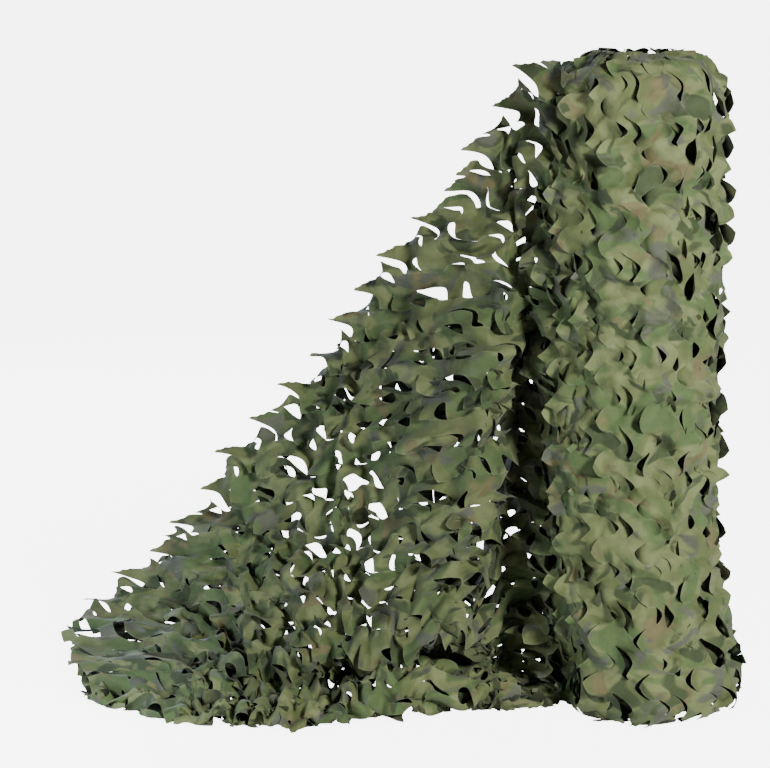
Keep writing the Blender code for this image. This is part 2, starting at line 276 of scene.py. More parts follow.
def leaf_share(cloth):
    """1 at the free corner of each hook's tongue, falling to 0 at its root; with a number for each leaf."""
    share = np.zeros(len(cloth.verts))
    number = np.zeros(len(cloth.verts), int)
    layers = square_layers(cloth)
    for patch in cloth.faces:
        low_p, low_q = low_corner(patch, layers)
        for first, second, side, arms, hook in tongue_places(low_p + 0.5, low_q + 0.5):
            for corner in patch.verts:
                a = first + side * (corner[layers[0]] - low_p - 0.5)
                b = second + side * (corner[layers[1]] - low_q - 0.5)
                free = 1 - a / arms[0] - b / arms[1]
                if free > share[corner.index]:
                    share[corner.index] = free
                    number[corner.index] = hook
    return share, number


def unevenness(flat, shortest, longest, seed, count=40):
    """Three even, wandering values at every flat place, each mostly between -1 and 1."""
    chance = np.random.default_rng(seed)
    made = np.zeros((len(flat), 3))
    for axis in range(3):
        heading = chance.uniform(0, 2 * math.pi, count)
        rate = 2 * math.pi / chance.uniform(shortest, longest, count)
        phase = chance.uniform(0, 2 * math.pi, count)
        across = np.outer(flat[:, 0], rate * np.cos(heading)) + np.outer(flat[:, 1], rate * np.sin(heading))
        made[:, axis] = np.sin(across + phase).sum(axis=1) / math.sqrt(count)
    return made


def facets(cloth, seed):
    """Three wandering values for each corner, even across a block, so that the cloth creases on ribbons."""
    table = np.random.default_rng(seed).uniform(-1, 1, (FACET_BLOCKS, FACET_BLOCKS, 3))
    layers = square_layers(cloth)
    p = np.array([corner[layers[0]] for corner in cloth.verts]) / BLOCK
    q = np.array([corner[layers[1]] for corner in cloth.verts]) / BLOCK
    low_p, low_q = np.floor(p).astype(int), np.floor(q).astype(int)
    a, b = (p - low_p)[:, None], (q - low_q)[:, None]
    p_blocks = low_p % FACET_BLOCKS, (low_p + 1) % FACET_BLOCKS
    q_blocks = low_q % FACET_BLOCKS, (low_q + 1) % FACET_BLOCKS
    near, far = (table[block, q_blocks[0]] * (1 - b) + table[block, q_blocks[1]] * b for block in p_blocks)
    return near * (1 - a) + far * a


# The settling


def fold_lines(cloth):
    """The edges on the lines that the cuts follow, where the cloth folds."""
    layers = square_layers(cloth)
    found = set()
    for edge in cloth.edges:
        one, other = edge.verts
        across = 1 if one[layers[1]] == other[layers[1]] else 0
        if one[layers[across]] % BLOCK == 0:
            found.add(edge)
    return found


def links_of(cloth, bend):
    """Pairs of points with how stiffly the cloth holds them: threads, the weave's skew, and its bending."""
    folds = fold_lines(cloth)
    pairs = [(edge.verts[0].index, edge.verts[1].index, 1.0) for edge in cloth.edges]
    for patch in cloth.faces:
        a, b, c, d = (corner.index for corner in patch.verts)
        pairs += [(a, c, 0.6), (b, d, 0.6)]
    for edge in cloth.edges:
        if len(edge.link_loops) == 2 and edge not in folds:
            one, other = edge.link_loops
            one_far, other_far = (loop.link_loop_next.link_loop_next.vert.index for loop in (one, other))
            pairs.append((one.link_loop_prev.vert.index, other_far, bend))
            pairs.append((one_far, other.link_loop_prev.vert.index, bend))
    return pairs


def in_rounds(pairs, flat, home=None, gathered=None):
    """The pairs sorted into rounds in which each point has one at most, with their lengths.

    A length is the flat cloth's, or no longer than at home where the cloth is gathered.
    """
    busy = [0] * len(flat)
    rounds = {}
    for a, b, stiff in pairs:
        free = ~(busy[a] | busy[b])
        bit = free & -free
        busy[a] |= bit
        busy[b] |= bit
        rounds.setdefault(bit, []).append((a, b, stiff))
    made = []
    for held in rounds.values():
        a = np.array([pair[0] for pair in held])
        b = np.array([pair[1] for pair in held])
        stiff = 0.5 * np.array([pair[2] for pair in held])
        length = np.linalg.norm(flat[a] - flat[b], axis=1)
        if gathered is not None:
            shorter = np.minimum(length, np.linalg.norm(home[a] - home[b], axis=1))
            share = 0.5 * (gathered[a] + gathered[b])
            length = length * (1 - share) + shorter * share
        made.append((a, b, stiff, length))
    return made


def settle(points, rounds, home, pull, push, limit, steps):
    """Lets the cloth settle, drawn home by pull, moved by push and kept clear by limit."""
    for _ in range(steps):
        points += pull[:, None] * (home - points) + push
        for a, b, stiff, length in rounds:
            apart = points[b] - points[a]
            size = np.sqrt(np.einsum("ij,ij->i", apart, apart)) + 1e-9
            move = (stiff * (1 - length / size))[:, None] * apart
            points[a] += move
            points[b] -= move
        points = limit(points)
    return points


# The forms that the cloth lies on


def apart_from(angle, other):
    """The angle from the other to it, between minus and plus half a turn."""
    return (angle - other + math.pi) % (2 * math.pi) - math.pi


def roll_radius(height, turned):
    """Radius of the wound roll, where turned runs from 0 to 1 around it to the outer turn's end."""
    angle = LEAVE_ANGLE - 2 * math.pi * turned
    radius = np.where(height > HEAD_LEVELS[0], np.interp(height, HEAD_LEVELS, HEAD_RADII), ROLL_RADIUS)
    spread = np.interp(height, FOOT_LEVELS, FOOT_SPREAD)
    lumps = np.sin(5 * angle + 9 * height) + np.sin(9 * angle - 16 * height + 1.2)
    clear = 1 - np.exp(-((apart_from(angle, LEAVE_ANGLE) / math.radians(38)) ** 2))
    share = 1 - 1.6 * np.exp(-((apart_from(angle, SHEET_SIDE) / math.radians(50)) ** 4))
    ruffle = 1 + 0.16 * np.sin(8 * angle + 0.6) + 0.10 * np.sin(13 * angle + 2.0)
    lump = 0.5 * LUMP_DEPTH * lumps * clear * radius / ROLL_RADIUS
    return radius + TURN_STEP * turned + lump + spread * share * ruffle


HEAD_STEPS = np.hypot(np.diff(HEAD_LEVELS), np.diff(HEAD_RADII))
HEAD_WAYS = np.concatenate([[0.0, HEAD_LEVELS[0]], HEAD_LEVELS[0] + np.cumsum(HEAD_STEPS)])
HEAD_HEIGHTS = np.concatenate([[0.0], HEAD_LEVELS])


def turned_at(points):
    """How far around the roll each point is, from 0 to 1."""
    angle = np.arctan2(points[:, 1] - ROLL_AXIS[1], points[:, 0] - ROLL_AXIS[0])
    return ((LEAVE_ANGLE - angle) / (2 * math.pi)) % 1.0


def stations_of(points):
    """Share of the length of a line of points at which each of them stands."""
    lengths = np.linalg.norm(np.diff(np.array(points), axis=0), axis=1)
    return np.concatenate([[0], np.cumsum(lengths)]) / lengths.sum()


def blend(stations, values, share):
    """A value between those given at the stations, on a smooth curve through them."""
    low = int(np.clip(np.searchsorted(stations, share, side="right") - 1, 0, len(stations) - 2))
    width = stations[low + 1] - stations[low]
    part = (share - stations[low]) / width

    def slope(index):
        before, after = max(index - 1, 0), min(index + 1, len(stations) - 1)
        return (values[after] - values[before]) / (stations[after] - stations[before])

    square, cube = part**2, part**3
    return (
        values[low] * (2 * cube - 3 * square + 1)
        + slope(low) * width * (cube - 2 * square + part)
        + values[low + 1] * (3 * square - 2 * cube)
        + slope(low + 1) * width * (cube - square)
    )


def hang(points):
    """Points down the hanging part, on a smooth curve through the given ones, without the last."""
    stations, places = stations_of(points), np.array(points)
    return [Vector(blend(stations, places, step / HANG_ROWS)) for step in range(HANG_ROWS)]


def run(start, end):
    """Points between two folds, without the ends."""
    return [start + (end - start) * (step / RUN_ROWS) for step in range(1, RUN_ROWS)]


def turn(centre, radius, forward, first, last):
    """Points on a fold in the upright plane of forward, by angles from the rear over the top."""
    points = []
    for step in range(TURN_ROWS + 1):
        angle = math.radians(first + (last - first) * step / TURN_ROWS)
        rise = Vector((0, 0, radius * math.sin(angle)))
        points.append(centre - forward * (radius * math.cos(angle)) + rise)
    return points


def section_points(row):
    """One section from its top edge, down the hanging part and through the folds on the floor to the hem."""
    facing = math.radians(row["facing"])
    forward = Vector((math.cos(facing), math.sin(facing), 0))
    nose_radius, back_radius, front_radius = row["turns"]
    second_layer = FLOOR_GAP + 2 * front_radius
    third_layer = second_layer + 2 * back_radius
    nose = Vector((*row["nose"], third_layer + nose_radius)) - forward * nose_radius
    back = Vector((*row["back"], second_layer + back_radius)) + forward * back_radius
    front = Vector((*row["front"], FLOOR_GAP + front_radius)) - forward * front_radius
    hem = Vector((*row["hem"], FLOOR_GAP))
    nose_turn = turn(nose, nose_radius, forward, 150, 270)
    back_turn = turn(back, back_radius, forward, 90, -90)
    front_turn = turn(front, front_radius, forward, 90, 270)
    return (
        hang([row["top"], row["upper"], row["belly"], nose_turn[0]])
        + nose_turn
        + run(nose_turn[-1], back_turn[0])
        + back_turn
        + run(back_turn[-1], front_turn[0])
        + front_turn
        + run(front_turn[-1], hem)
        + [hem]
    )


ALONG_COUNT = 200
DOWN_STEP = 0.01
DOWN_COUNT = 190


def loose_form():
    """The loose end's middle surface, by share along it and way down it, with its nose, hem and length."""
    stations = stations_of([row["top"] for row in SECTIONS])
    sections = np.array([[tuple(point) for point in section_points(row)] for row in SECTIONS])
    down = np.arange(DOWN_COUNT) * DOWN_STEP
    places, noses, hems = [], [], []
    for share in np.linspace(0, 1, ALONG_COUNT):
        line = blend(stations, sections, share) + ROLL_AXIS
        reach = np.concatenate([[0], np.cumsum(np.linalg.norm(np.diff(line, axis=0), axis=1))])
        places.append(np.stack([np.interp(down, reach, line[:, axis]) for axis in range(3)], axis=1))
        noses.append(reach[HANG_ROWS + TURN_ROWS])
        hems.append(reach[-1])
    tops = np.array([row["top"] for row in SECTIONS])
    length = np.linalg.norm(np.diff(tops, axis=0), axis=1).sum()
    return np.array(places), np.array(noses), np.array(hems), length


LOOSE_PLACES, LOOSE_NOSES, LOOSE_HEMS, LOOSE_LENGTH = loose_form()


def on_loose_form(share, down):
    """Points of the loose end's form, by share along it and way down it."""
    column = np.clip(share, 0, 1) * (ALONG_COUNT - 1)
    row = np.clip(down / DOWN_STEP, 0, DOWN_COUNT - 1.001)
    left = np.minimum(column.astype(int), ALONG_COUNT - 2)
    above = row.astype(int)
    across, below = (column - left)[:, None], (row - above)[:, None]
    upper = LOOSE_PLACES[left, above] * (1 - across) + LOOSE_PLACES[left + 1, above] * across
    lower = LOOSE_PLACES[left, above + 1] * (1 - across) + LOOSE_PLACES[left + 1, above + 1] * across
    return upper * (1 - below) + lower * below


# The finishes


def add(tree, kind, values=None, **settings):
    """A node with its settings, and its inputs from other nodes' outputs or from plain values."""
    made = tree.nodes.new(kind)
    for name, value in settings.items():
        setattr(made, name, value)
    for name, value in (values or {}).items():
        if isinstance(value, bpy.types.NodeSocket):
            tree.links.new(value, made.inputs[name])
        else:
            made.inputs[name].default_value = value
    return made


def dyed(red, green, blue):
    """A colour as the eye reads it, 0 to 255, as the shader's own values."""
    return tuple(((level / 255 + 0.055) / 1.055) ** 2.4 for level in (red, green, blue)) + (1.0,)


PRINT = (  # colours of the print, from the ground up: how often each shows, size of its patches, and edge
    dict(name="pale_sage", colour=(118, 127, 82), above=0.47, scale=8.0, offset=(3.1, 0.4), edge=0.14),
    dict(name="leaf_green", colour=(86, 106, 62), above=0.54, scale=7.0, offset=(0.7, 5.2), edge=0.10),
    dict(name="earth", colour=(112, 107, 72), above=0.65, scale=8.6, offset=(8.3, 2.9), edge=0.09),
    dict(name="dark_green", colour=(66, 78, 48), above=0.61, scale=9.4, offset=(5.5, 7.7), edge=0.07),
    dict(name="stone_grey", colour=(92, 96, 80), above=0.64, scale=10.0, offset=(1.9, 9.4), edge=0.10),
)
GROUND = (98, 108, 64)


def netting_material(name, shade):
    """Matt woven cloth with a woodland print on its face, dull on its back and pale along its cut edges. Its
    colour is multiplied by shade, which is painted shade wherever it is below 1.
    """
    material = bpy.data.materials.new(name)
    material.use_nodes = True
    tree = material.node_tree
    shader = tree.nodes["Principled BSDF"]
    shader.inputs["Roughness"].default_value = 0.72
    shader.inputs["Sheen Weight"].default_value = 0.12
    shader.inputs["Sheen Roughness"].default_value = 0.5
    shader.inputs["Specular IOR Level"].default_value = 0.3
    flat = add(tree, "ShaderNodeUVMap", uv_map="flat_cloth").outputs["UV"]
    colour = add(tree, "ShaderNodeRGB")
    colour.outputs[0].default_value = dyed(*GROUND)
    colour = colour.outputs[0]
    for patch in PRINT:
        place = add(
            tree, "ShaderNodeMapping",
            {
                "Vector": flat,
                "Location": (*patch["offset"], 0),
                "Scale": (patch["scale"], patch["scale"] * 1.2, 1),
            },
        )
        cloud = add(
            tree, "ShaderNodeTexNoise",
            {"Vector": place.outputs[0], "Scale": 1.0, "Detail": 2.5, "Roughness": 0.55, "Distortion": 0.6},
            noise_dimensions="2D",
        )
        where = add(
            tree, "ShaderNodeMapRange",
            {
                "Value": cloud.outputs[0],
                "From Min": patch["above"] - patch["edge"] / 2,
                "From Max": patch["above"] + patch["edge"] / 2,
            },
            interpolation_type="SMOOTHSTEP",
        )
        colour = add(
            tree, "ShaderNodeMixRGB",
            {"Fac": where.outputs[0], "Color1": colour, "Color2": dyed(*patch["colour"])},
        ).outputs[0]
    fading = add(
        tree, "ShaderNodeTexNoise", {"Vector": flat, "Scale": 26.0, "Detail": 3.0}, noise_dimensions="2D"
    )
    # Random tone from the noise, times shade: below 1, shade is painted shade that darkens the whole cloth.
    tone_and_painted_shade = add(
        tree, "ShaderNodeMapRange",
        {
            "Value": fading.outputs[0],
            "From Min": 0.3,
            "From Max": 0.7,
            "To Min": 0.86 * shade,
            "To Max": 1.1 * shade,
        },
    )
    colour = add(
        tree, "ShaderNodeVectorMath", {0: colour, "Scale": tone_and_painted_shade.outputs[0]}, operation="SCALE"
    ).outputs[0]
    edge = add(tree, "ShaderNodeAttribute", attribute_name="cut_edge").outputs["Fac"]
    edge = add(
        tree, "ShaderNodeMapRange", {"Value": edge, "From Min": 0.80, "From Max": 1.0, "To Max": 0.14}
    )
    colour = add(
        tree, "ShaderNodeMixRGB",
        {"Fac": edge.outputs[0], "Color1": colour, "Color2": dyed(168, 174, 146)},
    ).outputs[0]
    behind = add(tree, "ShaderNodeNewGeometry").outputs["Backfacing"]
    dull = add(
        tree, "ShaderNodeMixRGB",
        {"Fac": 0.5, "Color1": colour, "Color2": dyed(34, 36, 30)},
    ).outputs[0]
    colour = add(tree, "ShaderNodeMixRGB", {"Fac": behind, "Color1": colour, "Color2": dull}).outputs[0]
    tree.links.new(colour, shader.inputs["Base Color"])
    warp = add(
        tree, "ShaderNodeTexWave", {"Vector": flat, "Scale": 260.0, "Distortion": 0.4}, bands_direction="X"
    )
    weft = add(
        tree, "ShaderNodeTexWave", {"Vector": flat, "Scale": 260.0, "Distortion": 0.4}, bands_direction="Y"
    )
    weave = add(
        tree, "ShaderNodeMath", {0: warp.outputs["Fac"], 1: weft.outputs["Fac"]}, operation="MULTIPLY"
    )
    crumple = add(
        tree, "ShaderNodeTexNoise", {"Vector": flat, "Scale": 38.0, "Detail": 4.0}, noise_dimensions="2D"
    )
    creases = add(
        tree, "ShaderNodeBump",
        {"Height": crumple.outputs[0], "Strength": 0.55, "Distance": 0.006},
    )
    relief = add(
        tree, "ShaderNodeBump",
        {"Height": weave.outputs[0], "Strength": 0.35, "Distance": 0.0004, "Normal": creases.outputs[0]},
    )
    tree.links.new(relief.outputs[0], shader.inputs["Normal"])
    return material


def mottled(name, colour, other, scale):
    """A matt material that wanders between two colours."""
    material = bpy.data.materials.new(name)
    material.use_nodes = True
    tree = material.node_tree
    shader = tree.nodes["Principled BSDF"]
    place = add(tree, "ShaderNodeTexCoord").outputs["Object"]
    cloud = add(tree, "ShaderNodeTexNoise", {"Vector": place, "Scale": scale, "Detail": 3.0})
    mixed = add(tree, "ShaderNodeMixRGB", {"Fac": cloud.outputs[0], "Color1": colour, "Color2": other})
    tree.links.new(mixed.outputs[0], shader.inputs["Base Color"])
    shader.inputs["Roughness"].default_value = 0.75
    return material


netting_cloth = netting_material("netting_cloth", 1.0)
# Painted shade: the hanging part of the loose end gets the same cloth darkened to 0.76.
hanging_cloth_painted_shade = netting_material("hanging_cloth_painted_shade", 0.76)
# Painted shade: the doubled layer behind gets the same cloth darkened to 0.42.
doubled_cloth_painted_shade = netting_material("doubled_cloth_painted_shade", 0.42)
# Painted shade: the second turn under the outer one gets the same cloth darkened to 0.45.
inner_cloth_painted_shade = netting_material("inner_cloth_painted_shade", 0.45)
# Painted shade: near-black mottled colour for the roll's inner turns, seen through the cuts.
shaded_cloth = mottled("shaded_cloth", (0.006, 0.007, 0.004, 1), (0.022, 0.026, 0.016, 1), 24.0)


# The pieces


def finished(name, cloth, points, flat, material, levels):
    """A settled cloth as a piece, with its flat places as its UV map and its mesh smoothed."""
    print_map = cloth.loops.layers.uv.new("flat_cloth")
    for corner, place in zip(cloth.verts, points):
        corner.co = place
    for patch in cloth.faces:
        patch.smooth = True
        for loop in patch.loops:
            loop[print_map].uv = flat[loop.vert.index]
    for edge in fold_lines(cloth):
        if len(edge.link_faces) == 2 and edge.calc_face_angle(0) > FOLD_ANGLE:
            edge.smooth = False
    edge = cloth.verts.layers.float.new("cut_edge")
    for corner in cloth.verts:
        corner[edge] = float(corner.is_boundary and levels > 0)
    mesh = bpy.data.meshes.new(name)
    cloth.to_mesh(mesh)
    cloth.free()
    mesh.materials.append(material)
    made = bpy.data.objects.new(name, mesh)
    bpy.context.scene.collection.objects.link(made)
    if levels:
        smoothing = made.modifiers.new("smoothing", "SUBSURF")
        smoothing.levels = levels
        smoothing.render_levels = levels
        smoothing.boundary_smooth = "PRESERVE_CORNERS"
    return made


def turn_of_netting(name, inset, shift, seed, material, steps, levels):
    """One turn of netting around the roll, standing on its lower selvedge and gathered over its head."""
    chance = np.random.default_rng(seed)
    around = 2 * math.pi * (ROLL_RADIUS + 0.5 * TURN_STEP)
    cloth = flat_cloth(shift - 0.03, shift + 1.06 * around / ROLL_ACROSS, FOOT_FLAT, TOP_FLAT)
    flat = flat_places(cloth)
    tip, leaf = leaf_share(cloth)
    way = (flat[:, 1] - FOOT_FLAT) * ROLL_DOWN

    def wound(out):
        turned = 1 - (flat[:, 0] - shift) * ROLL_ACROSS / around
        height = np.interp(way, HEAD_WAYS, HEAD_HEIGHTS)
        angle = LEAVE_ANGLE - 2 * math.pi * turned
        radius = roll_radius(height, turned) - inset + out
        return np.stack(
            (
                ROLL_AXIS[0] + radius * np.cos(angle),
                ROLL_AXIS[1] + radius * np.sin(angle),
                height + ROLL_FOOT - 0.8 * inset,
            ),
            axis=1,
        )

    home = wound(np.zeros(len(flat)))
    outward = wound(np.ones(len(flat))) - home
    outward[:, 2] = 0
    around_way = np.stack((-outward[:, 1], outward[:, 0], 0 * outward[:, 0]), axis=1)
    on_head = np.clip((way - HEAD_WAYS[1]) / 0.06, 0, 1)
    outward[:, 2] = 1.2 * on_head
    outward /= np.linalg.norm(outward, axis=1)[:, None]
    lift = chance.uniform(-1.3, 1.7, LEAVES)[leaf] * (1 - 0.6 * on_head)
    ripple = facets(cloth, seed + 16) * (1 - 0.5 * on_head)[:, None]
    swell = unevenness(flat, 0.06, 0.14, seed + 17)
    home += outward * (0.002 + 0.017 * ripple[:, :1] + 0.004 * swell[:, :1])
    home += around_way * (0.007 * ripple[:, 1:2])
    home[:, 2] += 0.006 * ripple[:, 2] - 0.03 * on_head * np.clip((0.46 - home[:, 0]) / 0.1, 0, 1)
    home += outward * (0.030 * tip * lift)[:, None]
    points = home + outward * (0.002 * chance.standard_normal(len(flat)))[:, None]
    pull = 0.07 - 0.05 * tip
    push = outward * (0.0003 * tip * lift)[:, None]

    def clear_of_turns(points):
        turned = turned_at(points)
        across = points[:, :2] - ROLL_AXIS[:2]
        radius = np.linalg.norm(across, axis=1)
        level = np.minimum(points[:, 2] - ROLL_FOOT + 0.8 * inset, HEAD_LEVELS[-1])
        least = (roll_radius(level, turned) - inset - 0.024) * (1 - on_head)
        short = np.maximum(least / radius, 1)
        points[:, :2] = ROLL_AXIS[:2] + across * short[:, None]
        points[:, 2] = np.clip(points[:, 2], LOWEST, HIGHEST)
        return points

    rounds = in_rounds(links_of(cloth, 0.3), flat, home, on_head)
    points = settle(points, rounds, home, pull, push, clear_of_turns, steps)
    return finished(name, cloth, points, flat, material, levels)


def head_turns():
    """The upper ends of the inner turns, wound in a narrowing spiral and seen from above."""
    chance = np.random.default_rng(31)
    widths, deep, count = (0.146, 0.022), 0.20, 400
    length = INNER_TURNS * math.pi * sum(widths) / INNER_ACROSS
    cloth = flat_cloth(0, length, TOP_FLAT - deep, TOP_FLAT)
    flat = flat_places(cloth)
    tip, leaf = leaf_share(cloth)
    steps = np.linspace(0, 1, count)
    radii = widths[0] + (widths[1] - widths[0]) * steps
    step = INNER_TURNS * 2 * math.pi / (count - 1)
    ways = np.concatenate([[0], np.cumsum(0.5 * (radii[1:] + radii[:-1])) * step])
    share = np.interp(flat[:, 0] * INNER_ACROSS, ways, steps)
    angle = LEAVE_ANGLE + INNER_TURNS * 2 * math.pi * share
    below = TOP_FLAT - flat[:, 1]
    radius = np.interp(share, steps, radii) * (0.86 + 0.14 * np.clip(below / 0.06, 0, 1))
    ripple = unevenness(flat, 0.05, 0.12, 33)
    radius += 0.006 * ripple[:, 0]
    height = 1.490 - 0.05 * (radius / 0.15) ** 2 - below * 0.94 + 0.010 * ripple[:, 1]
    ring = np.stack((np.cos(angle), np.sin(angle), 0 * angle), axis=1)
    home = ROLL_AXIS + ring * radius[:, None]
    home[:, 2] = height
    points = home + ring * (0.002 * chance.standard_normal(len(flat)))[:, None]
    pull = 0.06 * (1 - tip) ** 2 + 0.002
    push = ring * (0.001 * tip * chance.uniform(-1, 1, LEAVES)[leaf])[:, None]

    def below_head(points):
        points[:, 2] = np.minimum(points[:, 2], HIGHEST)
        return points

    rounds = in_rounds(links_of(cloth, 0.3), flat)
    points = settle(points, rounds, home, pull, push, below_head, 80)
    return finished("head_turns", cloth, points, flat, netting_cloth, 1)


def loose_place(x, y):
    """Where the flat cloth of the loose end lies: share along it and way down it."""
    out = (TOP_FLAT - y) * LOOSE_DOWN
    share = (-x * LOOSE_ACROSS - SLANT * out) / LOOSE_LENGTH
    return share, out * np.interp(share, (0, 0.15), (1.15, 1.458))


def way_down(x, y):
    """A flat place's share along and way down, with the nose and the hem below it."""
    share, down = loose_place(x, y)
    column = int(min(max(share, 0), 1) * (ALONG_COUNT - 1))
    return share, down, LOOSE_NOSES[column], LOOSE_HEMS[column]


def fin_share(cloth):
    """1 at the free corner that each cut leaves where it crosses the upper selvedge, 0 at its root."""
    share = np.zeros(len(cloth.verts))
    layers = square_layers(cloth)
    for patch in cloth.faces:
        low_p, low_q = low_corner(patch, layers)
        if patch.calc_center_median().y > TOP_FLAT - 5 * STEP_DOWN:
            sums = (low_p + low_q + 1 + 8) % REPEAT - 8
            gaps = (low_q - low_p + 3) % REPEAT - 3
            p, q = (sums - gaps) / 2, (sums + gaps) / 2
            if -4.5 < p < 0 < q:
                for corner in patch.verts:
                    free = -(p + corner[layers[0]] - low_p - 0.5) / 4
                    share[corner.index] = max(share[corner.index], min(free, 1))
    return share


def loose_netting(
    name, keep, seed, material=netting_cloth, behind=0.0, shift=(0, 0), lively=1.0, steps=200, spills=False
):
    """A part of the loose end: laid on its form and let settle, its leaves hanging free."""
    chance = np.random.default_rng(seed)
    cloth = flat_cloth(
        shift[0] - LOOSE_LONGEST, shift[0] + 0.01, shift[1] + TOP_FLAT - LOOSE_DEEPEST, shift[1] + TOP_FLAT,
        lambda x, y: keep(x - shift[0], y - shift[1]),
    )
    flat = flat_places(cloth)
    tip, leaf = leaf_share(cloth)
    fin = fin_share(cloth) if shift == (0, 0) else np.zeros(len(flat))
    share, down = loose_place(flat[:, 0] - shift[0], flat[:, 1] - shift[1])
    spill = np.interp(share, (0.45, 0.6), (0, 1))
    noses = np.interp(share, np.linspace(0, 1, ALONG_COUNT), LOOSE_NOSES)
    over = spill * np.clip(down - noses + 0.02, 0, 0.2) if spills else 0 * down
    home = on_loose_form(share, down - over) + np.outer(over, (0, -0.85, -0.3))
    home[:, 0] += 0.55 * over * np.interp(share, (0.8, 1), (0, 1))
    sideways = on_loose_form(share - 0.004, down) - on_loose_form(share + 0.004, down)
    downwards = on_loose_form(share, down + 0.01) - on_loose_form(share, down - 0.01)
    outward = np.cross(downwards, sideways)
    outward /= np.linalg.norm(outward, axis=1)[:, None] + 1e-9
    in_middle = np.interp(home[:, 2], (0.62, 0.74), (1, 0)) * np.interp(home[:, 0], (-0.36, -0.28), (0, 1))
    raised = 0.38 + 0.06 * in_middle * np.interp(home[:, 0], (-0.02, 0.05), (1, 0))
    standing = chance.uniform(0, 1, LEAVES)[leaf] < raised
    lift = np.where(
        standing, chance.uniform(1.2, 2.4, LEAVES)[leaf], chance.uniform(-0.5, 0.5, LEAVES)[leaf]
    ) * lively
    sideways /= np.linalg.norm(sideways, axis=1)[:, None] + 1e-9
    ripple = facets(cloth, seed)
    swell = 0.010 * unevenness(flat, 0.25, 0.5, seed + 1) + 0.009 * unevenness(flat, 0.05, 0.11, seed + 2)
    home += outward * (0.048 * ripple[:, :1] + swell[:, :1] - behind)
    home += sideways * (0.018 * ripple[:, 1:2])
    home[:, 2] += 0.012 * ripple[:, 2] + 0.08 * np.exp(-((share / 0.08) ** 2) - down / 0.2)
    turn_out = chance.uniform(-1, 1, LEAVES)[leaf]
    home += outward * (0.038 * tip * lift)[:, None] + sideways * (0.010 * tip * turn_out)[:, None]
    home[:, 2] -= 0.008 * tip * np.abs(lift)
    home += np.outer(fin, (-0.056, -0.012, 0.022))
    home += np.outer(np.exp(-down / 0.12) * np.interp(share, (0.7, 0.95), (1, 0)), (-0.010, 0, 0.016))
    by_roll = np.exp(-(((share - 0.09) / 0.06) ** 2)) * np.clip((down - noses + 0.02) / 0.05, 0, 1)
    home[:, 1] -= 0.07 * by_roll
    points = home + outward * (0.004 * chance.standard_normal(len(flat)))[:, None]
    pull = 0.07 - 0.05 * tip
    push = 0 * home
    push[:, 2] -= 0.0003

    def clear_of_floor(points):
        points[:, 1] = np.maximum(points[:, 1], FRONT_MOST)
        points[:, 2] = np.maximum(points[:, 2], LOWEST)
        return points

    rounds = in_rounds(links_of(cloth, 0.12), flat * LOOSE_GRID)
    points = settle(points, rounds, home, pull, push, clear_of_floor, steps)
    return finished(name, cloth, points, flat * LOOSE_GRID, material, 1)


def wound_core():
    """The turns inside the outer one, as one body that closes the view through the cuts, coloured near black
    as painted shade.
    """
    levels, sides = 40, 64
    body = bmesh.new()
    bmesh.ops.create_cone(
        body, cap_ends=True, cap_tris=False, segments=sides, radius1=1, radius2=1, depth=levels
    )
    bmesh.ops.translate(body, verts=body.verts, vec=(0, 0, levels / 2))
    for level in range(1, levels):
        everything = list(body.verts) + list(body.edges) + list(body.faces)
        bmesh.ops.bisect_plane(body, geom=everything, plane_co=(0, 0, level), plane_no=(0, 0, 1))
    for corner in body.verts:
        angle = math.atan2(corner.co.y, corner.co.x)
        height = ROLL_FOOT + 1.40 * corner.co.z / levels
        turned = ((LEAVE_ANGLE - angle) / (2 * math.pi)) % 1.0
        radius = float(roll_radius(np.array(height), np.array(turned))) - 0.050
        x, y = ROLL_AXIS[0] + radius * math.cos(angle), ROLL_AXIS[1] + radius * math.sin(angle)
        corner.co = (x, y, height)
    mesh = bpy.data.meshes.new("wound_core")
    body.to_mesh(mesh)
    body.free()
    mesh.materials.append(shaded_cloth)
    made = bpy.data.objects.new("wound_core", mesh)
    bpy.context.scene.collection.objects.link(made)
    return made


def before_end(share, down):
    """Whether a place is on the cloth, whose free end slants back as it goes down."""
    return -0.003 < share < 1 - 0.012 * min(max((down - 0.10) / 0.10, 0), 1)


def hangs(x, y):
    """Whether a flat place is on the hanging part, or on what spills over the pile."""
    share, down, nose, _ = way_down(x, y)
    return before_end(share, down) and down < nose + 0.05 + 0.1 * np.interp(share, (0.45, 0.6), (0, 1))


def lies_folded(x, y):
    """Whether a flat place is on the part that lies in folds on the floor."""
    share, down, nose, hem = way_down(x, y)
    return before_end(share, down) and nose < down < hem


def doubled_behind(x, y):
    """Where the cloth lies double: all but its middle and its upper corner by the roll."""
    share, down, nose, hem = way_down(x, y)
    column = int(min(max(share, 0), 1) * (ALONG_COUNT - 1))
    place = LOOSE_PLACES[column, min(int(down / DOWN_STEP), DOWN_COUNT - 1)]
    in_middle = -0.27 < place[0] < -0.02 and place[2] < 0.63
    upper_corner = place[0] > -0.04 and place[2] > 0.95
    foot = hem if share < 0.25 else nose
    return 0.01 < share < 0.96 and 0.03 < down < foot and not in_middle and not upper_corner


roll = turn_of_netting("outer_turn", 0.0, 0.0, 5, netting_cloth, 200, 1)
second = turn_of_netting("second_turn", 0.026, 1.37, 6, inner_cloth_painted_shade, 60, 0)
head = head_turns()
core = wound_core()
hanging = loose_netting("hanging_netting", hangs, 11, material=hanging_cloth_painted_shade, spills=True)
folded = loose_netting("folded_netting", lies_folded, 12)
doubled = loose_netting(
    "doubled_netting", doubled_behind, 14, material=doubled_cloth_painted_shade,
    behind=0.035, shift=(0.05, 0.03), lively=0.8, steps=100,
)
for piece in (roll, second, head, core):
    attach(piece, "root")
    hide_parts("net_roll")
for piece in (hanging, folded, doubled):
    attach(piece, "root")
    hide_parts("loose_end")


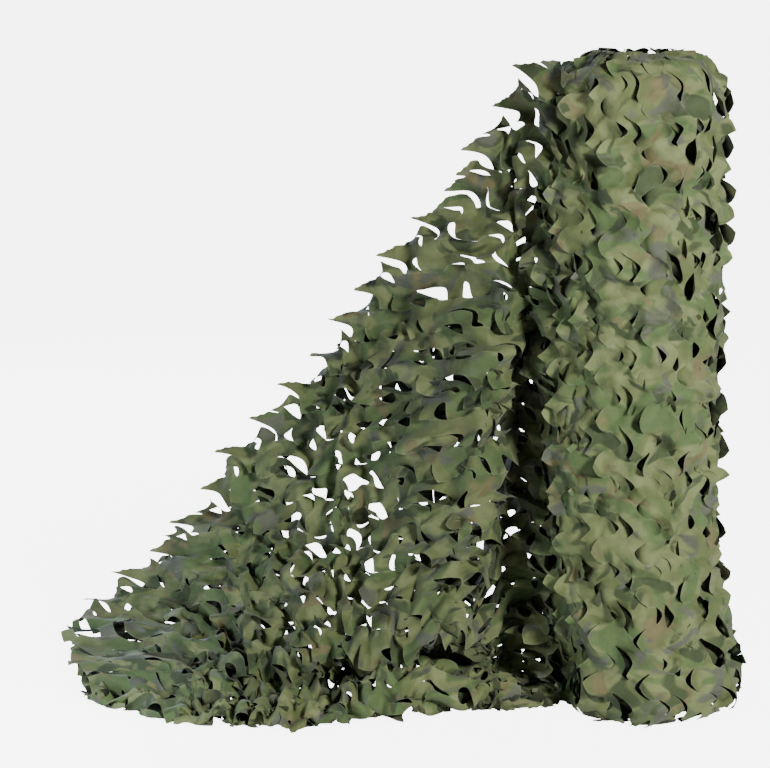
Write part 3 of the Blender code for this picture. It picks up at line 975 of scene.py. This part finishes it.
def flat_size(piece):
    """The width and length of a piece's cloth lying flat, and its area, from its UV map."""
    print_map = piece.data.uv_layers[0].data
    corners = np.zeros(len(print_map) * 2)
    print_map.foreach_get("uv", corners)
    corners = corners.reshape(-1, 4, 2)
    length, width = np.ptp(corners.reshape(-1, 2), axis=0)
    one, other = corners[:, 2] - corners[:, 0], corners[:, 3] - corners[:, 1]
    area = np.abs(one[:, 0] * other[:, 1] - one[:, 1] * other[:, 0]).sum() / 2
    return (float(width), float(length)), float(area)


for piece, held, below in (
    (roll, "gathered", [second]),
    (second, "gathered", [core]),
    (head, "gathered", [core]),
    (hanging, "draped", [folded]),
    (folded, "folded", [doubled]),
    (doubled, "hung", [folded]),
):
    size, area = flat_size(piece)


# The studio


def seen_white(tree, strength):
    """White light for the eye alone, so that the backdrop is pale and throws no light of its own."""
    return add(
        tree, "ShaderNodeMath",
        {0: add(tree, "ShaderNodeLightPath").outputs["Is Camera Ray"], 1: strength},
        operation="MULTIPLY",
    ).outputs[0]


def studio():
    """The pale backdrop, the three lights and the camera of the photo."""
    floor_shape = bmesh.new()
    bmesh.ops.create_grid(floor_shape, x_segments=1, y_segments=1, size=160)
    floor_mesh = bpy.data.meshes.new("studio_floor")
    floor_shape.to_mesh(floor_mesh)
    floor_shape.free()
    floor = bpy.data.objects.new("studio_floor", floor_mesh)
    bpy.context.scene.collection.objects.link(floor)
    pale = mottled("pale_floor", (0.79, 0.79, 0.78, 1), (0.81, 0.81, 0.8, 1), 2.0)
    shader = pale.node_tree.nodes["Principled BSDF"]
    shader.inputs["Emission Color"].default_value = (1, 1, 1, 1)
    pale.node_tree.links.new(seen_white(pale.node_tree, 6.0), shader.inputs["Emission Strength"])
    floor_mesh.materials.append(pale)
    world = bpy.data.worlds.new("studio")
    bpy.context.scene.world = world
    world.use_nodes = True
    sky = world.node_tree.nodes["Background"]
    sky.inputs["Color"].default_value = (1, 1, 1, 1)
    strength = add(
        world.node_tree, "ShaderNodeMath", {0: seen_white(world.node_tree, 6.0), 1: 0.10}, operation="ADD"
    )
    world.node_tree.links.new(strength.outputs[0], sky.inputs["Strength"])
    white, sky_blue = (1, 1, 1), (0.74, 0.85, 1)
    for name, place, aim, size, power, colour in (
        ("key_light", (2.6, -4.0, 2.6), (0.2, 0.0, 0.7), 0.9, 322, white),
        ("fill_light", (-1.45, -0.65, 0.4), (-0.6, -0.1, 0.0), 0.5, 14, sky_blue),
        ("back_light", (-2.2, 3.8, 2.4), (0.0, 0.0, 0.6), 1.6, 130, sky_blue),
    ):
        lamp = bpy.data.lights.new(name, "AREA")
        lamp.shape = "SQUARE"
        lamp.size = size
        lamp.energy = power
        lamp.color = colour
        held = bpy.data.objects.new(name, lamp)
        held.location = place
        held.rotation_euler = (Vector(aim) - Vector(place)).to_track_quat("-Z", "Y").to_euler()
        bpy.context.scene.collection.objects.link(held)
    eye = bpy.data.cameras.new("camera")
    eye.lens = 110
    eye.sensor_width = 36
    camera = bpy.data.objects.new("camera", eye)
    camera.location = (-0.0224, -5.3644, 1.75)
    camera.rotation_euler = (math.radians(90 - 10.71), 0, 0)
    bpy.context.scene.collection.objects.link(camera)
    bpy.context.scene.camera = camera


studio()
